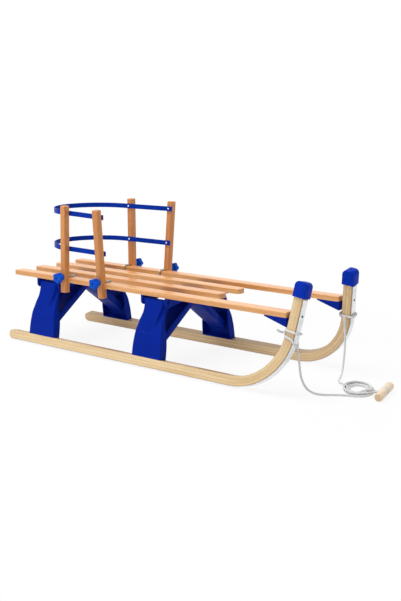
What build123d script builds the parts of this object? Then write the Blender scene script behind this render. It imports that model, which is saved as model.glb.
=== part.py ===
from build123d import *
import math
import os

os.makedirs("parts", exist_ok=True)

# Frame: +X forward, near side at -Y, +Z up, origin under the middle of the sled on the ground. Millimetres.

# Seat
LENGTH = 1100.0
SEAT_TOP = 228.0
SLAT_T = 15.0
SLAT_W = 38.0
SLAT_PITCH = 93.0
INNER_SLAT_SETBACK = 334.0
INNER_ROW = 0.5
OUTER_ROW = 1.5
SLAT_EDGE_R = 2.5
INNER_END_R = 12.0
REAR_END_R = 4.0

# Folding axis of each side, and the lean of a side about it
HINGE_Y = 146.0
HINGE_DROP = 17.0
TILT = 10.3
PIN_R = 4.0
PIN_HEAD_R = 6.5
PIN_HEAD = 3.0
BORE_FIT = 0.05

# Runner, its steel sole and the cap on its upright
RUNNER_T = 27.0
RUNNER_H = 28.0
SOLE_T = 2.5
SOLE_WIDTH = 22.0
BEND_R = 196.0
LEAN = 6.9
UPRIGHT_RUN = 128.0
TAIL_INSET = 2.0
TAIL_R = 12.0
CAP_COVER = 33.0
CAP_WALL = 2.5
CAP_TOP = 8.0
CAP_FIT = 0.2
CAP_EDGE_R = 2.2
CAP_ARCH_R = 11.0
CAP_HOLE_R = 3.0
CAP_HOLE_DEPTH = 2.5
CAP_GAP = 2.0

# Trestles: legs, beams and braces
FRONT_TRESTLE_SETBACK = 506.0
REAR_TRESTLE_INSET = 154.5
LEG_TOP_HALF = 39.0
LEG_FOOT_HALF = 56.0
LEG_SAG = 3.0
LEG_DEPTH = 24.0
LEG_PANEL = 5.0
LEG_WALL = 5.0
LEG_FOOT_T = 12.0
LEG_EDGE_R = 3.0
TONGUE_HALF = 27.0
TONGUE_LOW = 92.0
TONGUE_DEPTH = 1.5
BOSS_R = 9.0
BOSS_T = 2.5
CHEEK_GAP = 0.5
CHEEK_T = 7.0
CHEEK_END_R = 13.0
CHEEK_MID_DEPTH = 10.0
CHEEK_MID_HALF = 20.0
PLATE_T = 4.0
PLATE_CLEAR = 6.0
APEX_Y = 10.0
APEX_DROP = 19.0
LUG_R = 9.0
BRACE_PIN_R = 3.0
BRACE_PIN_DEPTH = 10.0
BRACE_DROP = 36.0
BRACE_HALF = 37.0
BRACE_TIP_HALF = 28.5
BRACE_NECK = 100.0
BRACE_NECK_RUN = 14.0
BRACE_SKIN_LOW = 8.0
BRACE_SKIN_T = 5.0
BRACE_RIM_TOP = 4.0
BRACE_RIM_T = 4.0
KNUCKLE_R = 8.0
SCOOP_AT = 48.0
SCOOP_R = 15.0
SEAT_GAP = 0.3
LATCH_X = 6.0
LATCH_L = 16.0
LATCH_H = 8.0
LATCH_NOSE = 5.0

# Wedges under the front ends of the outer slats
WEDGE_LENGTH = 72.0
WEDGE_H = 26.0
WEDGE_TAIL_H = 4.0
WEDGE_CLEAR = 5.0
WEDGE_EDGE_R = 2.0
SLAT_CLEAR = 6.0
WEDGE_PIN_DEPTH = 12.0

# Backrest: posts, hook bolts, knobs and bands
POST_X = 20.0
POST_Y = 22.0
POST_CENTRE_Y = 160.0
POST_LOW = 182.0
POST_TOP = 454.0
POST_EDGE_R = 3.0
POST_FIT = 0.3
REAR_POST_INSET = 233.0
REAR_POST_LEAN = -1.0
FRONT_POST_INSET = 388.0
FRONT_POST_LEAN = 4.8
BOLT_R = 3.0
BOLT_GAP = 0.3
BOLT_BEND_R = 5.5
BOLT_RECESS = 5.0
KNOB_HUB_R = 9.0
KNOB_HUB = 12.0
KNOB_R = 17.0
KNOB_T = 15.0
KNOB_LOBES = 5
KNOB_LOBE_R = 6.0
KNOB_EDGE_R = 2.0
BAND_H = 15.0
BAND_T = 3.0
BAND_FIT = 0.4
BAND_BACK_INSET = 87.0
BAND_END = 13.0
LOWER_BAND_RISE = 91.0
UPPER_BAND_DROP = 24.0

# Pull cord, its loops round the uprights, the loose hank and the handle
CORD_R = 3.0
LOOP_RUN = 1.9400
LOOP_FIT = 0.3
LOOP_CORNER_R = 3.6
ARC_SHARE = 0.45
HANK_AT = (636.0, 6.0)
HANK_TURN = -61.0
HANK_LENGTH = 138.0
HANK_WIDTH = 88.0
HANK_BAND = 29.0
HANK_H = 16.0
HANK_EDGE_R = 5.0
HANDLE_AT = (714.0, 6.5)
HANDLE_TURN = 102.0
HANDLE_LENGTH = 122.0
HANDLE_R = 12.0
HANDLE_GROOVE_R = 9.0
HANDLE_GROOVE = 14.0
HANDLE_END_R = 4.0
NEAR_CORD = ((517, -126.5, 172), (519, -127.2, 143), (523, -126, 108), (524, -120, 72), (525, -112, 38),
             (538, -105, 12), (562, -104, 3.4), (589, -96, 3.3), (609, -76, 3.3), (622, -54, 4.5))
FAR_CORD = ((519, 126.5, 172), (521, 127.4, 142), (525, 126.5, 106), (527, 122, 70), (529, 113, 36),
            (534, 98, 12), (541, 74, 3.4), (549, 51, 3.3), (562, 33, 3.3), (577.5, 21.5, 4.5))
HANDLE_CORD = ((690, 2.4, 8), (695, 3.6, 10), (699.6, 4.4, 11.3), (704, 4.9, 11.8))

# Derived places
FRONT_X = LENGTH / 2
REAR_X = -LENGTH / 2
INNER_SLAT_FRONT = FRONT_X - INNER_SLAT_SETBACK
BAND_BACK_X = REAR_X + BAND_BACK_INSET
TRESTLES = (("front", FRONT_X - FRONT_TRESTLE_SETBACK), ("rear", REAR_X + REAR_TRESTLE_INSET))
POSTS = (("rear", REAR_X + REAR_POST_INSET, REAR_POST_LEAN),
         ("front", REAR_X + FRONT_POST_INSET, FRONT_POST_LEAN))
BANDS = (("lower", SEAT_TOP + LOWER_BAND_RISE), ("upper", POST_TOP - UPPER_BAND_DROP))
SLAT_LOW = SEAT_TOP - SLAT_T
HINGE_Z = SLAT_LOW - HINGE_DROP
SLAT_OUTER = OUTER_ROW * SLAT_PITCH + SLAT_W / 2
SLAT_INNER = SLAT_OUTER - SLAT_W
TILT_COS = math.cos(math.radians(TILT))
TILT_SIN = math.sin(math.radians(TILT))
LEAN_COS = math.cos(math.radians(LEAN))
LEAN_SIN = math.sin(math.radians(LEAN))
SOLE_FALL = (HINGE_Z - SOLE_WIDTH / 2 * TILT_SIN) / TILT_COS
RUNNER_TOP = SOLE_T + RUNNER_H
LEG_FALL = SOLE_FALL - RUNNER_TOP
CAP_GROW = CAP_WALL + CAP_FIT
CAP_FRONT = SOLE_T - CAP_GROW
CAP_RISE = UPRIGHT_RUN + CAP_FIT + CAP_TOP - CAP_ARCH_R
BEND_X = FRONT_X - CAP_ARCH_R - (BEND_R - CAP_FRONT - CAP_ARCH_R) * LEAN_COS - CAP_RISE * LEAN_SIN
BEND_Z = BEND_R - SOLE_FALL
TAIL_X = REAR_X + TAIL_INSET
EAR_IN = LEG_TOP_HALF - LEG_WALL
CHEEK_IN = LEG_TOP_HALF + BOSS_T + CHEEK_GAP
CHEEK_OUT = CHEEK_IN + CHEEK_T
APEX_Z = SLAT_LOW - APEX_DROP
BOLT_Z = SEAT_TOP + BOLT_GAP + BOLT_R


def save(name, *shapes):
    """Write the solids of one node to a file of their own."""
    solids = [solid for shape in shapes for solid in shape.solids()]
    export_step(solids[0] if len(solids) == 1 else Compound(solids), f"parts/{name}.step")


def far(shape):
    """The same piece on the far side."""
    return mirror(shape, about=Plane.XZ)


def side_place(shape):
    """Set a piece of the near side, drawn upright about the folding axis, at its lean."""
    return Pos(0, -HINGE_Y, HINGE_Z) * Rot(-TILT, 0, 0) * shape


def brace_place(shape):
    """Set a near brace, drawn level along -Y from its pivot, at its slope."""
    return Pos(0, -APEX_Y, APEX_Z) * Rot(BRACE_DROP, 0, 0) * shape


def rod_x(radius, start, end, y=0.0, z=0.0):
    """Round rod along X between two stations."""
    return Pos((start + end) / 2, y, z) * Rot(0, 90, 0) * Cylinder(radius, abs(end - start))


def upright_point(depth, run):
    """Point of the upright at a depth from the sole's outer line and a run above the bend."""
    radius = BEND_R - depth
    return (BEND_X + radius * LEAN_COS + run * LEAN_SIN, BEND_Z - radius * LEAN_SIN + run * LEAN_COS)


def upright_rear_x():
    """Station of the upright's rear face at the height of the folding axis."""
    x, z = upright_point(RUNNER_TOP, 0)
    return x - z * LEAN_SIN / LEAN_COS


def runner_strip(shallow, deep, tail, run):
    """Outline of a strip that follows the runner's bend between two depths from the sole's line."""
    sweep_angle = 90 - LEAN
    outer_end = upright_point(shallow, 0)
    outer_top = upright_point(shallow, run)
    inner_end = upright_point(deep, 0)
    inner_top = upright_point(deep, run)
    floor = -SOLE_FALL + shallow
    roof = -SOLE_FALL + deep
    return make_face([
        Line((tail, floor), (BEND_X, floor)),
        CenterArc((BEND_X, BEND_Z), BEND_R - shallow, -90, sweep_angle),
        Line(outer_end, outer_top),
        Line(outer_top, inner_top),
        Line(inner_top, inner_end),
        CenterArc((BEND_X, BEND_Z), BEND_R - deep, -90, sweep_angle),
        Line((BEND_X, roof), (tail, roof)),
        Line((tail, roof), (tail, floor)),
    ])


def thick(sketch, width):
    """Solid of an outline in the XZ plane, centred on the side's middle plane."""
    return extrude(Plane.XZ * sketch, width / 2, both=True)


def runner():
    """Laminated runner with a rounded tail, bent up into the upright, bored for the wedge's pin."""
    outline = runner_strip(SOLE_T, RUNNER_TOP, TAIL_X, UPRIGHT_RUN)
    tail_corners = outline.vertices().sort_by(Axis.X)[:2]
    wood = thick(fillet(tail_corners, TAIL_R), RUNNER_T)
    reach = upright_rear_x() + WEDGE_PIN_DEPTH
    return wood - rod_x(PIN_R + BORE_FIT, upright_rear_x() - RUNNER_H / 2, reach + BORE_FIT)


def sole():
    """Steel band under the runner and up the front of its upright, below the cap."""
    return thick(runner_strip(0, SOLE_T, TAIL_X + TAIL_R, UPRIGHT_RUN - CAP_COVER - CAP_GAP), SOLE_WIDTH)


def upright_plane(run):
    """Plane across the upright at a run above the bend, on the wood's middle line."""
    x, z = upright_point(SOLE_T + RUNNER_H / 2, run)
    return Plane(origin=(x, 0, z), x_dir=(LEAN_COS, 0, -LEAN_SIN), z_dir=(LEAN_SIN, 0, LEAN_COS))


def cap():
    """Moulded cap over the top of the upright, arched from front to rear, with a drain hole on top."""
    height = CAP_COVER + CAP_FIT + CAP_TOP
    shell = extrude(Rectangle(RUNNER_H + 2 * CAP_GROW, RUNNER_T + 2 * CAP_GROW), height)
    shell = fillet(shell.faces().sort_by(Axis.Z)[-1].edges().filter_by(Axis.Y), CAP_ARCH_R)
    shell = fillet(shell.edges().filter_by(Axis.Z), CAP_EDGE_R)
    shell -= extrude(Rectangle(RUNNER_H + 2 * CAP_FIT, RUNNER_T + 2 * CAP_FIT), CAP_COVER + CAP_FIT)
    shell -= Pos(0, 0, height - CAP_HOLE_DEPTH / 2) * Cylinder(CAP_HOLE_R, CAP_HOLE_DEPTH)
    return upright_plane(UPRIGHT_RUN - CAP_COVER) * shell


def leg_outline(inset):
    """Flared outline of a leg seen from the side, drawn in by an inset."""
    top = LEG_TOP_HALF - inset
    foot = LEG_FOOT_HALF - inset
    waist = (top + foot) / 2 - LEG_SAG
    head = LEG_DEPTH / 2
    return make_face([
        Line((-top, 0), (-top, head)),
        Line((-top, head), (top, head)),
        Line((top, head), (top, 0)),
        ThreePointArc((top, 0), (waist, -LEG_FALL / 2), (foot, -LEG_FALL)),
        Line((foot, -LEG_FALL), (-foot, -LEG_FALL)),
        ThreePointArc((-foot, -LEG_FALL), (-waist, -LEG_FALL / 2), (-top, 0)),
    ])


def leg():
    """Hollow leg, open to the inside, with a round head between two bored ears."""
    half = LEG_DEPTH / 2
    edge = Pos(0, -LEG_FALL / 2) * Rectangle(LEG_DEPTH, LEG_FALL) + Circle(half)
    body = extrude(Plane.YZ * edge, LEG_FOOT_HALF, both=True) & thick(leg_outline(0), LEG_DEPTH)
    foot_edges = body.edges().filter_by(GeomType.CIRCLE).filter_by(lambda e: e.radius > LEG_FALL)
    body = fillet(foot_edges.group_by(Axis.Y)[0], LEG_EDGE_R)
    hollow = leg_outline(LEG_WALL)
    hollow -= Pos(0, LEG_FOOT_T / 2 - LEG_FALL) * Rectangle(2 * LEG_FOOT_HALF, LEG_FOOT_T)
    hollow += Pos(0, half) * Rectangle(2 * EAR_IN, 2 * half)
    body -= Pos(0, LEG_PANEL, 0) * thick(hollow, LEG_DEPTH)
    tongue = Pos(0, (TONGUE_HALF - TONGUE_LOW + half) / 2) * Rectangle(
        2 * TONGUE_HALF, TONGUE_LOW - TONGUE_HALF + half) + Pos(0, TONGUE_HALF - TONGUE_LOW) * Circle(TONGUE_HALF)
    body -= Pos(0, TONGUE_DEPTH - LEG_DEPTH, 0) * thick(tongue, LEG_DEPTH)
    for turn in (-1, 1):
        body += rod_x(BOSS_R, turn * EAR_IN, turn * (LEG_TOP_HALF + BOSS_T))
    return body - rod_x(PIN_R + BORE_FIT, -CHEEK_IN, CHEEK_IN)


def cheek_outline():
    """One cheek of a beam, deep over the legs' pivots and shallow in the middle, with the braces' lug."""
    end = HINGE_Y + CHEEK_END_R
    eye = HINGE_Z - CHEEK_END_R
    mid = SLAT_LOW - CHEEK_MID_DEPTH
    face = Polygon((-end, SLAT_LOW), (-end, HINGE_Z), (-HINGE_Y, eye), (-CHEEK_MID_HALF, mid),
                   (CHEEK_MID_HALF, mid), (HINGE_Y, eye), (end, HINGE_Z), (end, SLAT_LOW), align=None)
    for turn in (-1, 1):
        face += Pos(turn * HINGE_Y, HINGE_Z) * Circle(CHEEK_END_R)
        face += Pos(turn * APEX_Y, APEX_Z) * Circle(LUG_R)
    face += Pos(0, (SLAT_LOW + APEX_Z) / 2) * Rectangle(2 * APEX_Y, APEX_DROP)
    for turn in (-1, 1):
        face -= Pos(turn * HINGE_Y, HINGE_Z) * Circle(PIN_R + BORE_FIT)
        face -= Pos(turn * APEX_Y, APEX_Z) * Circle(BRACE_PIN_R + BORE_FIT)
    return face


def beam(station):
    """Cross beam of a trestle: two cheeks joined by a plate under the slats."""
    cheek = extrude(Plane.YZ * cheek_outline(), CHEEK_T)
    plate_half = HINGE_Y - LEG_DEPTH / 2 - PLATE_CLEAR
    body = Pos(CHEEK_IN, 0, 0) * cheek + Pos(-CHEEK_OUT, 0, 0) * cheek
    body += Pos(0, 0, SLAT_LOW - PLATE_T / 2) * Box(2 * CHEEK_IN, 2 * plate_half, PLATE_T)
    return Pos(station, 0, 0) * body


def brace_length():
    """Length of a brace from its pivot to its seat on the inside of the leg's panel."""
    drop = math.radians(BRACE_DROP)
    across = APEX_Y - HINGE_Y + BRACE_RIM_TOP * math.sin(drop)
    above = APEX_Z - HINGE_Z + BRACE_RIM_TOP * math.cos(drop)
    reach = LEG_DEPTH / 2 - LEG_PANEL - SEAT_GAP
    return (reach - across * TILT_COS - above * TILT_SIN) / math.cos(drop + math.radians(TILT))


def brace_outline(inset):
    """Brace seen square on: wide by the pivot, necked to pass between the leg's ears."""
    wide = BRACE_HALF - inset
    slim = BRACE_TIP_HALF - inset
    end = brace_length() - inset
    neck_end = BRACE_NECK + BRACE_NECK_RUN
    return Polygon((wide, inset), (-wide, inset), (-wide, -BRACE_NECK), (-slim, -neck_end), (-slim, -end),
                   (slim, -end), (slim, -neck_end), (wide, -BRACE_NECK), align=None)


def brace():
    """Dished brace with a knuckle at its pivot and a finger scoop in its front edge."""
    rim = BRACE_RIM_TOP + BRACE_SKIN_LOW
    body = Pos(0, 0, -BRACE_SKIN_LOW) * extrude(brace_outline(0), rim)
    dish = extrude(brace_outline(BRACE_RIM_T), rim)
    body -= Pos(0, 0, BRACE_SKIN_T - BRACE_SKIN_LOW) * dish
    body -= Pos(BRACE_HALF, -SCOOP_AT, 0) * Cylinder(SCOOP_R, 2 * rim)
    body += rod_x(KNUCKLE_R, -BRACE_HALF, BRACE_HALF)
    return body - rod_x(BRACE_PIN_R + BORE_FIT, -BRACE_HALF, BRACE_HALF)


def latch():
    """Small catch that stands on the far brace inside its scoop."""
    low = BRACE_SKIN_T - BRACE_SKIN_LOW
    middle = BRACE_HALF - SCOOP_R - LATCH_X / 2
    stem = Pos(middle, -SCOOP_AT, low + LATCH_H / 2) * Box(LATCH_X, LATCH_L, LATCH_H)
    nose = Pos(middle + LATCH_X / 2 + LATCH_NOSE / 2, -SCOOP_AT, low + LATCH_H - BRACE_SKIN_T / 4)
    return stem + nose * Box(LATCH_NOSE, LATCH_L / 2, BRACE_SKIN_T / 2)


def leg_pins(station):
    """Headed pins, each through one cheek and one ear of a near leg."""
    pins = []
    for turn in (-1, 1):
        shank = rod_x(PIN_R, turn * EAR_IN, turn * CHEEK_OUT)
        head = rod_x(PIN_HEAD_R, turn * CHEEK_OUT, turn * (CHEEK_OUT + PIN_HEAD))
        pins.append(Pos(station, -HINGE_Y, HINGE_Z) * (shank + head))
    return pins


def brace_pins(station):
    """Pins from the beam's lugs into the knuckle of a near brace."""
    pins = []
    for turn in (-1, 1):
        shank = rod_x(BRACE_PIN_R, turn * (BRACE_HALF - BRACE_PIN_DEPTH), turn * CHEEK_OUT)
        pins.append(Pos(station, -APEX_Y, APEX_Z) * shank)
    return pins


def wedge():
    """Tapered block under the front end of a near outer slat, bored for its pin."""
    front = upright_rear_x() - WEDGE_CLEAR
    rear = front - WEDGE_LENGTH
    outline = Polygon((rear, SLAT_LOW), (rear, SLAT_LOW - WEDGE_TAIL_H), (front, SLAT_LOW - WEDGE_H),
                      (front, SLAT_LOW), align=None)
    block = extrude(Plane.XZ * outline, SLAT_W / 2, both=True)
    block = fillet(block.faces().sort_by(Axis.Z)[0].edges().filter_by(Axis.Y, reverse=True), WEDGE_EDGE_R)
    block = Pos(0, -(SLAT_OUTER + SLAT_INNER) / 2, 0) * block
    return block - rod_x(PIN_R + BORE_FIT, front - WEDGE_PIN_DEPTH, front, -HINGE_Y, HINGE_Z)


def wedge_pin():
    """Pin on the folding axis from the near wedge into the upright."""
    start = upright_rear_x() - WEDGE_CLEAR - WEDGE_PIN_DEPTH
    return rod_x(PIN_R, start, upright_rear_x() + WEDGE_PIN_DEPTH, -HINGE_Y, HINGE_Z)


def post_frame(station, lean):
    """Placement of a near post, leaning about its crossing with the seat's top."""
    return Pos(station, -POST_CENTRE_Y, SEAT_TOP) * Rot(lean, 0, 0)


def post(station, lean):
    """Backrest post with eased edges, bored for its hook bolt."""
    height = POST_TOP - POST_LOW
    stick = Pos(0, 0, POST_LOW - SEAT_TOP + height / 2) * Box(POST_X, POST_Y, height)
    stick = fillet(stick.edges().filter_by(Axis.Z) + stick.faces().sort_by(Axis.Z)[-1].edges(), POST_EDGE_R)
    bore = Pos(station, -POST_CENTRE_Y, BOLT_Z) * Rot(90, 0, 0) * Cylinder(BOLT_R + BORE_FIT, 2 * POST_Y)
    return post_frame(station, lean) * stick - bore


def slat(front, row, end_radius):
    """One seat slat with rounded ends and eased top edges."""
    plan = Rectangle(front - REAR_X, SLAT_W)
    plan = fillet(plan.vertices().group_by(Axis.X)[-1], end_radius)
    plan = fillet(plan.vertices().group_by(Axis.X)[0], REAR_END_R)
    board = extrude(plan, SLAT_T)
    board = fillet(board.faces().sort_by(Axis.Z)[-1].edges(), SLAT_EDGE_R)
    return Pos((front + REAR_X) / 2, row * SLAT_PITCH, SLAT_LOW) * board


def outer_slat():
    """Near outer slat, notched for the posts of the backrest."""
    board = slat(upright_rear_x() - SLAT_CLEAR, -OUTER_ROW, REAR_END_R)
    for name, station, lean in POSTS:
        notch = Box(POST_X + 2 * POST_FIT, POST_Y + 2 * POST_FIT, 4 * SLAT_T)
        board -= post_frame(station, lean) * notch
    return board


def knob_face(lean):
    """Distance from the middle of the sled to the seat of a knob's hub on a leaning post."""
    slope = math.tan(math.radians(abs(lean)))
    return POST_CENTRE_Y + POST_Y / 2 + (BOLT_Z - SEAT_TOP + KNOB_HUB_R) * slope + POST_FIT


def hook_bolt(station, lean):
    """Bolt from the knob through a near post, over the slat and hooked down on its inner edge."""
    outer = knob_face(lean) + KNOB_HUB + KNOB_T - BOLT_RECESS
    inner = SLAT_INNER - BOLT_GAP - BOLT_R
    route = Plane.YZ * FilletPolyline((-outer, BOLT_Z), (-inner, BOLT_Z), (-inner, SLAT_LOW), radius=BOLT_BEND_R)
    rod = sweep(Plane(origin=route @ 0, z_dir=route % 0) * Circle(BOLT_R), route)
    return Pos(station, 0, 0) * rod


def knob(station, lean):
    """Star knob outside a near post, bored for the hook bolt."""
    face = knob_face(lean)
    star = Circle(KNOB_R - KNOB_LOBE_R / 2)
    for turn in range(KNOB_LOBES):
        angle = math.radians(turn * 360 / KNOB_LOBES)
        reach = KNOB_R - KNOB_LOBE_R
        star += Pos(reach * math.cos(angle), reach * math.sin(angle)) * Circle(KNOB_LOBE_R)
    head = extrude(star, KNOB_T)
    head = fillet(head.faces().sort_by(Axis.Z)[-1].edges(), KNOB_EDGE_R)
    body = Pos(0, 0, face + KNOB_HUB) * head
    body += Pos(0, 0, face + KNOB_HUB / 2) * Cylinder(KNOB_HUB_R, KNOB_HUB)
    body -= Pos(0, 0, face + KNOB_HUB) * Cylinder(BOLT_R + BORE_FIT, 2 * (KNOB_HUB + KNOB_T))
    return Pos(station, 0, BOLT_Z) * Rot(90, 0, 0) * body


def post_inner(lean, height):
    """Distance from the middle of the sled to the inner face of a post at a height."""
    slope = math.radians(lean)
    return POST_CENTRE_Y + (height - SEAT_TOP) * math.tan(slope) - POST_Y / 2 / math.cos(slope)


def band(height):
    """Band along the inner faces of the posts and round behind the sitter."""
    (_, rear_x, rear_lean), (_, front_x, front_lean) = POSTS
    top = height + BAND_H / 2
    low = height - BAND_H / 2
    rear_y = min(post_inner(rear_lean, top), post_inner(rear_lean, low)) - BAND_FIT
    front_y = min(post_inner(front_lean, top), post_inner(front_lean, low)) - BAND_FIT
    splay = math.atan2(front_y - rear_y, front_x - rear_x)
    run = rear_x + POST_X / 2 - BAND_BACK_X
    radius = (rear_y * math.cos(splay) - run * math.sin(splay)) / (1 - math.sin(splay))
    middle = BAND_BACK_X + radius
    end_x = front_x + BAND_END
    end_y = front_y + (BAND_END - POST_X / 2) * math.tan(splay)

    def outline(shrink):
        """Loop of the band's outside, or of its inside when shrunk by its thickness."""
        size = radius - shrink
        join = (middle - size * math.sin(splay), size * math.cos(splay))
        tip = (end_x, end_y - shrink / math.cos(splay))
        turn = math.degrees(splay)
        return make_face([
            Line(tip, join),
            CenterArc((middle, 0), size, 90 + turn, 180 - 2 * turn),
            Line((join[0], -join[1]), (tip[0], -tip[1])),
            Line((tip[0], -tip[1]), tip),
        ])

    return Pos(0, 0, low) * extrude(outline(0) - outline(BAND_T), BAND_H)


def cord_loop():
    """Turn of the cord round a near upright."""
    depth = RUNNER_TOP / 2
    x, z = upright_point(depth, LOOP_RUN)
    grow = 2 * (LOOP_FIT + CORD_R)
    ring = RectangleRounded(RUNNER_TOP + grow, RUNNER_T + grow, LOOP_CORNER_R).wires()[0]
    tube = sweep(Plane(origin=ring @ 0, z_dir=ring % 0) * Circle(CORD_R), ring)
    plane = Plane(origin=(x, 0, z), x_dir=(LEAN_COS, 0, -LEAN_SIN), z_dir=(LEAN_SIN, 0, LEAN_COS))
    return plane * tube


def cord(name, points):
    """Tube of straight runs and the largest tangent arcs that they allow."""
    route = [Vector(*point) for point in points]
    radii = []
    for before, corner, after in zip(route, route[1:], route[2:]):
        turn = math.radians((corner - before).get_angle(after - corner))
        shorter = min((corner - before).length, (after - corner).length)
        radii.append(ARC_SHARE * shorter / math.tan(turn / 2))
    path = FilletPolyline(*route, radius=radii)
    tube = sweep(Plane(origin=path @ 0, z_dir=path % 0) * Circle(CORD_R), path)
    share = tube.volume / (math.pi * CORD_R ** 2 * path.length)
    print(name, "length", round(path.length), "volume share", round(share, 4), "least radius", round(min(radii)))
    return tube


def hank():
    """Loose turns of the cord on the ground, as one oval ring."""
    ring = SlotOverall(HANK_LENGTH, HANK_WIDTH)
    ring -= SlotOverall(HANK_LENGTH - 2 * HANK_BAND, HANK_WIDTH - 2 * HANK_BAND)
    body = extrude(ring, HANK_H)
    body = fillet(body.faces().sort_by(Axis.Z)[-1].edges(), HANK_EDGE_R)
    return Pos(*HANK_AT, 0) * Rot(0, 0, HANK_TURN) * body


def handle():
    """Turned wooden pull handle with rounded ends and a groove for the cord, lying on the ground."""
    half = HANDLE_LENGTH / 2
    outline = Pos(HANDLE_R / 2, 0) * Rectangle(HANDLE_R, HANDLE_LENGTH)
    outline = fillet(outline.vertices().group_by(Axis.X)[-1], HANDLE_END_R)
    bite = HANDLE_R - HANDLE_GROOVE_R
    spread = ((HANDLE_GROOVE / 2) ** 2 + bite ** 2) / (2 * bite)
    outline -= Pos(HANDLE_GROOVE_R + spread, 0) * Circle(spread)
    body = revolve(Plane.XZ * outline, Axis.Z)
    return Pos(*HANDLE_AT, HANDLE_R) * Rot(0, 0, HANDLE_TURN) * Rot(0, 90, 0) * body


def write_seat():
    """Slats, wedges, beams and the pins that they carry."""
    for name, row in (("inner_near_slat", -INNER_ROW), ("inner_far_slat", INNER_ROW)):
        save(name, slat(INNER_SLAT_FRONT, row, INNER_END_R))
    for name, turn in (("near", lambda shape: shape), ("far", far)):
        save(f"{name}_outer_slat", turn(outer_slat()))
        save(f"{name}_wedge", turn(wedge()))
        save(f"{name}_wedge_pin", turn(wedge_pin()))
    for name, station in TRESTLES:
        save(f"{name}_beam", beam(station))
        near_legs = leg_pins(station)
        save(f"{name}_leg_pins", *near_legs, *[far(pin) for pin in near_legs])
        near_braces = brace_pins(station)
        save(f"{name}_brace_pins", *near_braces, *[far(pin) for pin in near_braces])


def write_backrest():
    """Posts, hook bolts, knobs and bands."""
    for name, turn in (("near", lambda shape: shape), ("far", far)):
        for place, station, lean in POSTS:
            save(f"{name}_{place}_post", turn(post(station, lean)))
            save(f"{name}_{place}_hook_bolt", turn(hook_bolt(station, lean)))
            save(f"{name}_{place}_knob", turn(knob(station, lean)))
    for name, height in BANDS:
        save(f"{name}_back_band", band(height))


def write_sides():
    """Runners, soles, caps, legs and braces of both sides."""
    for name, turn in (("near", lambda shape: shape), ("far", far)):
        save(f"{name}_runner", turn(side_place(runner())))
        save(f"{name}_sole", turn(side_place(sole())))
        save(f"{name}_cap", turn(side_place(cap())))
        save(f"{name}_cord_loop", turn(side_place(cord_loop())))
        for place, station in TRESTLES:
            save(f"{name}_{place}_leg", turn(side_place(Pos(station, 0, 0) * leg())))
            save(f"{name}_{place}_brace", turn(Pos(station, 0, 0) * brace_place(brace())))
    for place, station in TRESTLES:
        save(f"{place}_latch", far(Pos(station, 0, 0) * brace_place(latch())))


def write_cord():
    """Pull cord, hank and handle."""
    save("near_pull_cord", cord("near cord", NEAR_CORD))
    save("far_pull_cord", cord("far cord", FAR_CORD))
    save("handle_cord", cord("handle cord", HANDLE_CORD))
    save("cord_hank", hank())
    save("pull_handle", handle())


write_seat()
write_backrest()
write_sides()
write_cord()
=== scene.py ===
"""Looks of a folding wooden sled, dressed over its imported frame."""

import logging
import math
from dataclasses import dataclass
from enum import Enum
from typing import Union

import bmesh
import bpy
from mathutils import Matrix, Vector


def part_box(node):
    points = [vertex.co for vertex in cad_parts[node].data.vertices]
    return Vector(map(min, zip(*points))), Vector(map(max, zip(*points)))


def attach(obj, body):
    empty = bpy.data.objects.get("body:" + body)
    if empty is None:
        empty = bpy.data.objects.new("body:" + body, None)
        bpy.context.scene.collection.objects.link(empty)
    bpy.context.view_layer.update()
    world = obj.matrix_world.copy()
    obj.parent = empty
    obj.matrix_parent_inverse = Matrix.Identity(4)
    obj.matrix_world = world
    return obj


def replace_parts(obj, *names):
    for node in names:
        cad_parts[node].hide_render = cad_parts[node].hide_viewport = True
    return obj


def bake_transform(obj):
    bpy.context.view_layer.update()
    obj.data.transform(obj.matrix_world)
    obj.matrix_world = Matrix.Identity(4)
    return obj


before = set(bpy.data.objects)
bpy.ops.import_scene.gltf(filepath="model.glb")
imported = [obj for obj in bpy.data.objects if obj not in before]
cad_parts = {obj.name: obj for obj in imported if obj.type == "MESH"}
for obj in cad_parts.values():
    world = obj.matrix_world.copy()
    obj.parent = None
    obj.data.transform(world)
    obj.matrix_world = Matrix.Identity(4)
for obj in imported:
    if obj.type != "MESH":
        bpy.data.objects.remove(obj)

LOG = logging.getLogger("sled")
MM = 0.001
LAY = "lay"
SHARP = math.radians(38)
WELD = 1e-6
HAIR = 1e-9
DIGITS = 5
FACES_UP = 0.9
QUARTER_TURN = math.pi / 2
FULL_TURN = 2 * math.pi
SIDES = {"near": -1, "far": 1}
PLACES = ("front", "rear")

Colour = tuple[float, float, float]
Point = tuple[float, float, float]
Span = tuple[float, float]
Mesh = bmesh.types.BMesh
Vert = bmesh.types.BMVert
Edge = bmesh.types.BMEdge
Face = bmesh.types.BMFace
Material = bpy.types.Material
Socket = bpy.types.NodeSocket
Value = Union[Socket, float, Colour]


class Grain(Enum):
    """Axes that run with a piece's grain and across it, or none where it follows the runner's bend."""

    ALONG_X = (0, 1, 2)
    ALONG_Z = (2, 0, 1)
    ALONG_HANDLE = (1, 0, 2)
    ALONG_BEND = ()


def mirrored(name: str) -> Matrix:
    """Matrix that leaves the near side as it is and mirrors it to the far one."""
    return Matrix.Scale(-SIDES[name], 4, (0, 1, 0))


def box_middle(node: str) -> Vector:
    """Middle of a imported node's box."""
    low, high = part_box(node)
    return (low + high) / 2


def in_metres(points: tuple[Point, ...]) -> list[Vector]:
    """Points that are written in millimetres, in metres."""
    return [Vector(point) * MM for point in points]


def ease(low: float, high: float, value: float) -> float:
    """Smooth step from 0 at one value to 1 at another."""
    share = min(1.0, max(0.0, (value - low) / (high - low)))
    return share * share * (3 - 2 * share)


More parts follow.
